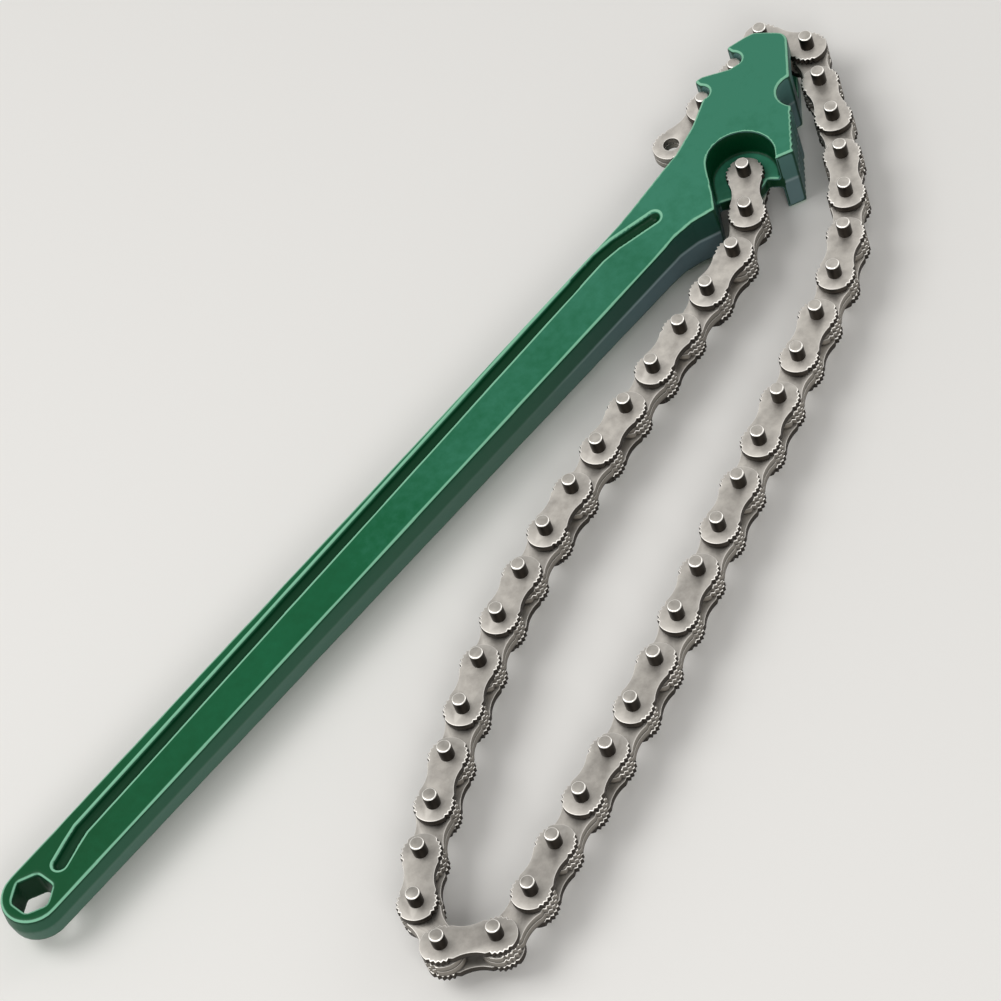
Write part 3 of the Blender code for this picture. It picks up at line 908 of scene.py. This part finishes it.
@dataclass
class ChainPlate:
    """A stamped link plate, made with its middle at the origin and its length along X."""

    pitch: float = 15.875 * MM
    thickness: float = 2.4 * MM
    end_radius: float = 6.1 * MM

    # The hollow of each side, and the width that it leaves.
    waist_curve: float = 11.2 * MM
    waist: float = 8.8 * MM
    waist_sides: int = 96

    bore_radius: float = 2.5 * MM
    bore_sides: int = 32

    # The teeth on the flanks of a round end, in degrees from its tip, and where the round part ends.
    steps_round: int = 48
    tooth_depth: float = 0.65 * MM
    teeth_span: Span = (50.0, 116.0)
    arc_end_degrees: float = 120.0

    # How near the two ends' points count as one, and what is added to find the open ends.
    merged_within: float = 0.001 * MM
    open_slack: float = 0.1 * MM

    rim: float = 0.30 * MM
    rim_steps: int = 2
    smooth_degrees: float = 40.0

    def build(self, name: str, bored: bool) -> bpy.types.Object:
        """Builds one plate, standing on z = 0.

        Args:
            name: The name of the plate.
            bored: Whether it has holes that show, as an inner plate does.

        Returns:
            The plate.
        """
        plate = self.toothed_end(name)
        self.join_ends(plate)
        self.thicken(plate)
        aside = self.waist_curve + self.waist / 2
        for side in (1, -1):
            self.drill(plate, self.waist_curve, self.waist_sides, (0.0, side * aside, 0.0))
        if bored:
            for side in (1, -1):
                self.drill(plate, self.bore_radius, self.bore_sides, (side * self.pitch / 2, 0.0, 0.0))
        self.round_rims(plate)
        smooth_by_angle(plate, self.smooth_degrees)
        return plate

    def toothed_end(self, name: str) -> bpy.types.Object:
        """Makes the outline of one round end, with teeth on its flanks and open towards the middle.

        Args:
            name: The name of the plate.

        Returns:
            The plate, so far an open line.
        """
        centre = Vector((-self.pitch / 2, 0.0, 0.0))
        bpy.ops.mesh.primitive_circle_add(
            vertices=self.steps_round, radius=self.end_radius, fill_type="NOTHING", location=centre
        )
        plate = bpy.context.object
        plate.name = plate.data.name = name
        settle(plate)
        start_edit(plate)
        step = 360 / self.steps_round

        def from_tip(place: Vector) -> float:
            """The angle between a place and the tip of the end, in degrees."""
            spot = place - centre
            return abs(math.degrees(math.atan2(spot.y, -spot.x)))

        def is_valley(place: Vector) -> bool:
            """Whether a point of the circle lies between two teeth, as every second one does."""
            turn = from_tip(place)
            return self.teeth_span[0] < turn < self.teeth_span[1] and round(turn / step) % 2 == 1

        def is_open(place: Vector) -> bool:
            """Whether a point of the circle lies past the round part, by more than rounding."""
            return from_tip(place) > self.arc_end_degrees + step / 4

        select_verts(plate, is_valley)
        shrink = 1 - self.tooth_depth / self.end_radius
        bpy.ops.transform.resize(value=(shrink, shrink, 1.0), center_override=centre)
        select_verts(plate, is_open)
        bpy.ops.mesh.delete(type="VERT")
        end_edit()
        return plate

    def join_ends(self, plate: bpy.types.Object) -> None:
        """Mirrors the end, joins both by straight sides and fills the outline.

        Args:
            plate: The outline of one end.
        """
        apply_modifier(
            plate,
            "MIRROR",
            use_axis=(True, False, False),
            use_clip=False,
            merge_threshold=self.merged_within,
        )
        open_x = self.pitch / 2 + self.end_radius * math.cos(math.radians(self.arc_end_degrees))
        inner = open_x + self.open_slack
        for side in (1, -1):
            start_edit(plate)
            select_verts(plate, lambda place: side * place.y > 0 and abs(place.x) < inner)
            bpy.ops.mesh.edge_face_add()
            end_edit()
        start_edit(plate)
        bpy.ops.mesh.select_all(action="SELECT")
        bpy.ops.mesh.edge_face_add()
        end_edit()

    def thicken(self, plate: bpy.types.Object) -> None:
        """Gives the outline its thickness.

        Args:
            plate: The filled outline.
        """
        start_edit(plate, "FACE")
        bpy.ops.mesh.select_all(action="SELECT")
        bpy.ops.mesh.extrude_region_move(TRANSFORM_OT_translate={"value": (0.0, 0.0, self.thickness)})
        bpy.ops.mesh.select_all(action="SELECT")
        bpy.ops.mesh.normals_make_consistent(inside=False)
        end_edit()

    def drill(self, plate: bpy.types.Object, radius: float, sides: int, place: Place) -> None:
        """Cuts a round upright hole or hollow.

        Args:
            plate: The plate to cut.
            radius: The radius of the cut.
            sides: How many sides the cut has.
            place: The middle of the cut.
        """
        bpy.ops.mesh.primitive_cylinder_add(
            vertices=sides, radius=radius, depth=4 * self.thickness, location=place
        )
        drill = bpy.context.object
        settle(drill)
        apply_modifier(plate, "BOOLEAN", operation="DIFFERENCE", solver="EXACT", object=drill)
        bpy.data.objects.remove(drill, do_unlink=True)

    def round_rims(self, plate: bpy.types.Object) -> None:
        """Rounds the rims of both faces, as tumbling does.

        Args:
            plate: The cut plate.
        """
        start_edit(plate, "EDGE")
        select_edges(plate, lambda a, b: abs(a.z - b.z) < self.thickness / 2)
        bpy.ops.mesh.bevel(offset=self.rim, segments=self.rim_steps, affect="EDGES", clamp_overlap=False)
        end_edit()


@dataclass
class ChainPin:
    """A hardened pin with a chamfer at both ends, made upright about the origin."""

    radius: float = 2.2 * MM
    length: float = 20.0 * MM
    sides: int = 32
    chamfer: float = 0.5 * MM
    chamfer_steps: int = 3
    end_zone: float = 1.0 * MM
    smooth_degrees: float = 35.0

    def build(self, name: str) -> bpy.types.Object:
        """Builds one pin.

        Args:
            name: The name of the pin.

        Returns:
            The pin.
        """
        bpy.ops.mesh.primitive_cylinder_add(vertices=self.sides, radius=self.radius, depth=self.length)
        pin = bpy.context.object
        pin.name = pin.data.name = name
        start_edit(pin, "EDGE")
        reach = self.length / 2 - self.end_zone
        select_edges(pin, lambda a, b: abs(a.z - b.z) < self.end_zone and abs(a.z) > reach)
        bpy.ops.mesh.bevel(offset=self.chamfer, segments=self.chamfer_steps, affect="EDGES")
        end_edit()
        smooth_by_angle(pin, self.smooth_degrees)
        return pin


@dataclass
class LeafChain:
    """The chain: outer links of two plates and two pins, inner links of two plates side by side."""

    plate: ChainPlate = field(default_factory=ChainPlate)
    pin: ChainPin = field(default_factory=ChainPin)
    running_gap: float = 0.3 * MM
    # Each finish paints shade under the plates and on their walls and a highlight on their upper rims; the
    # outer plates and the pins take darker walls as more painted shade.
    inner_finish: TumbledSteel = TumbledSteel("tumbled_inner_plate", "#A7A29B", "#C0BBB3")
    outer_shaded_finish: TumbledSteel = TumbledSteel(
        "tumbled_outer_plate", "#A7A29B", "#C0BBB3", under="#171513", wall="#443F3A"
    )
    pin_finish: TumbledSteel = TumbledSteel(
        "ground_steel_pin", "#A39E96", "#C0BBB3", wall="#322E2A", smooth=0.30, rough=0.42
    )

    def build(self) -> list[bpy.types.Object]:
        """Builds every link on its own body.

        Returns:
            The pieces of the chain.
        """
        outer_plate = self.plate.build("outer_plate_master", bored=False)
        outer = self.dressed(outer_plate, self.outer_shaded_finish.material())
        inner_plate = self.plate.build("inner_plate_master", bored=True)
        inner = self.dressed(inner_plate, self.inner_finish.material())
        pin = self.dressed(self.pin.build("pin_master"), self.pin_finish.material())
        made: list[bpy.types.Object] = []
        for joint in frame["joints"]:
            link = joint["child"]
            place = self.link_place(link, Vector(joint["pos_m"]))
            kind = LinkKind(link.split("_")[0])
            mine = self.plates(link, kind, outer if kind is LinkKind.OUTER else inner, place)
            if kind is LinkKind.OUTER:
                mine += self.pins(link, pin, place)
            for piece in mine:
                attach(piece, link)
                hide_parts(link)
            made += mine
            LOG.info("%s: %d pieces", link, len(mine))
        for master in (outer, inner, pin):
            bpy.data.objects.remove(master, do_unlink=True)
        return made

    @staticmethod
    def dressed(piece: bpy.types.Object, finish: bpy.types.Material) -> bpy.types.Object:
        """Gives a piece its only material.

        Args:
            piece: The piece.
            finish: The material.

        Returns:
            The same piece.
        """
        piece.data.materials.clear()
        piece.data.materials.append(finish)
        return piece

    @staticmethod
    def link_place(link: str, pin: Vector) -> Matrix:
        """Where a link lies.

        Args:
            link: The name of the link's body and node.
            pin: The middle of the pin it hangs from.

        Returns:
            The matrix that puts a link made about the origin, along X, in its place.
        """
        low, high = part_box(link)
        middle = (low + high) / 2
        along = middle - pin
        turn = math.atan2(along.y, along.x)
        return Matrix.Translation((middle.x, middle.y, pin.z)) @ Matrix.Rotation(turn, 4, "Z")

    def plates(
        self, link: str, kind: LinkKind, master: bpy.types.Object, place: Matrix
    ) -> list[bpy.types.Object]:
        """The two plates of a link.

        Args:
            link: The name of the link.
            kind: Whether it is an outer or an inner link.
            master: The plate to copy.
            place: Where the link lies.

        Returns:
            The upper and the lower plate.
        """
        start = self.plate.thickness + self.running_gap if kind is LinkKind.OUTER else 0.0
        made = []
        for face in Face:
            turn = Matrix.Rotation(0.0 if face is Face.TOP else math.pi, 4, "X")
            lift = Matrix.Translation((0.0, 0.0, face.value * start))
            made.append(copied(master, f"{link}_plate_{face.name.lower()}", place @ lift @ turn))
        return made

    def pins(self, link: str, master: bpy.types.Object, place: Matrix) -> list[bpy.types.Object]:
        """The two pins of an outer link.

        Args:
            link: The name of the link.
            master: The pin to copy.
            place: Where the link lies.

        Returns:
            The pin nearer the anchor and the one farther from it.
        """
        half = self.plate.pitch / 2
        made = []
        for side, name in ((-half, "near"), (half, "far")):
            made.append(copied(master, f"{link}_pin_{name}", place @ Matrix.Translation((side, 0.0, 0.0))))
        return made


@dataclass(frozen=True)
class Softbox:
    """A rectangular soft light that faces the tool, with its two sides in metres and its power in watts."""

    name: str
    place: Place
    sides: tuple[float, float]
    power: float

    def build(self) -> None:
        """Hangs the light and turns it to the tool."""
        data = bpy.data.lights.new(self.name, "AREA")
        data.shape = "RECTANGLE"
        data.size, data.size_y = self.sides
        data.energy = self.power
        lamp = bpy.data.objects.new(self.name, data)
        lamp.location = self.place
        lamp.rotation_euler = (-Vector(self.place)).to_track_quat("-Z", "Y").to_euler()
        bpy.context.scene.collection.objects.link(lamp)


@dataclass
class Studio:
    """A pale floor, soft lights and the camera where the photograph was taken."""

    floor_half: float = 3.0
    floor_finish: PaleFloor = field(default_factory=PaleFloor)

    # The world's strength on the tool, and as the camera and reflections see it.
    world_light: float = 0.42
    world_seen: float = 0.95
    lamps: tuple[Softbox, ...] = (
        Softbox("key_softbox", (-0.55, 0.55, 1.2), (0.9, 0.9), 9.0),
        Softbox("front_softbox", (-0.515, -0.87, 0.82), (0.5, 0.4), 4.0),
        Softbox("side_strip", (1.1, -0.25, 0.55), (0.4, 0.9), 1.5),
    )

    # The focal length is 4000 pixels of a picture 1001 pixels wide.
    camera_place: Place = (-0.37966, -0.61235, 0.931218)
    elevation_degrees: float = 51.0
    heading_degrees: float = -30.63
    roll_degrees: float = -22.4
    focal_in_frames: float = 4000 / 1001
    sensor_mm: float = 36.0
    nearest_seen: float = 0.01
    farthest_seen: float = 20.0

    def build(self) -> None:
        """Builds the stage, the lights and the camera."""
        self.floor()
        self.world()
        for lamp in self.lamps:
            lamp.build()
        self.camera()

    def floor(self) -> None:
        """The board the tool lies on."""
        bpy.ops.mesh.primitive_plane_add(size=2 * self.floor_half)
        floor = bpy.context.object
        floor.name = "pale_floor"
        floor.data.materials.append(self.floor_finish.material())

    def world(self) -> None:
        """Even light from all round, seen as white by the camera and in reflections."""
        world = bpy.data.worlds.new("studio_world")
        bpy.context.scene.world = world
        world.use_nodes = True
        tree = world.node_tree
        tree.nodes.clear()
        path = add_node(tree, "ShaderNodeLightPath").outputs
        first = add_node(
            tree,
            "ShaderNodeMath",
            {"operation": "MAXIMUM"},
            {0: path["Is Camera Ray"], 1: path["Is Glossy Ray"]},
        )
        seen = add_node(
            tree,
            "ShaderNodeMath",
            {"operation": "MAXIMUM"},
            {0: first.outputs["Value"], 1: path["Is Transmission Ray"]},
        )
        strength = add_node(
            tree,
            "ShaderNodeMapRange",
            inputs={"Value": seen.outputs["Value"], "To Min": self.world_light, "To Max": self.world_seen},
        )
        sky = add_node(
            tree,
            "ShaderNodeBackground",
            inputs={"Color": grey(1.0), "Strength": strength.outputs["Result"]},
        )
        add_node(tree, "ShaderNodeOutputWorld", inputs={"Surface": sky.outputs["Background"]})

    def camera(self) -> None:
        """The camera at the photograph's place, turn and focal length."""
        data = bpy.data.cameras.new("photo_camera")
        data.sensor_width = self.sensor_mm
        data.lens = self.focal_in_frames * self.sensor_mm
        data.clip_start = self.nearest_seen
        data.clip_end = self.farthest_seen
        camera = bpy.data.objects.new("photo_camera", data)
        turn = Matrix.Rotation(math.radians(self.heading_degrees), 4, "Z")
        tilt = Matrix.Rotation(math.radians(90 - self.elevation_degrees), 4, "X")
        roll = Matrix.Rotation(math.radians(self.roll_degrees), 4, "Z")
        camera.matrix_world = Matrix.Translation(self.camera_place) @ turn @ tilt @ roll
        bpy.context.scene.collection.objects.link(camera)
        bpy.context.scene.camera = camera


def main() -> None:
    """Builds the stage and every piece, and reports them."""
    logging.basicConfig(level=logging.INFO, format="%(name)s: %(message)s")
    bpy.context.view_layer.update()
    bpy.context.scene.view_settings.view_transform = "Standard"
    deselect_all()
    Studio().build()
    Forging().build()
    links = LeafChain().build()
    LOG.info("chain: %d pieces", len(links))
    deselect_all()
    bpy.context.view_layer.update()


if __name__ == "__main__":
    main()
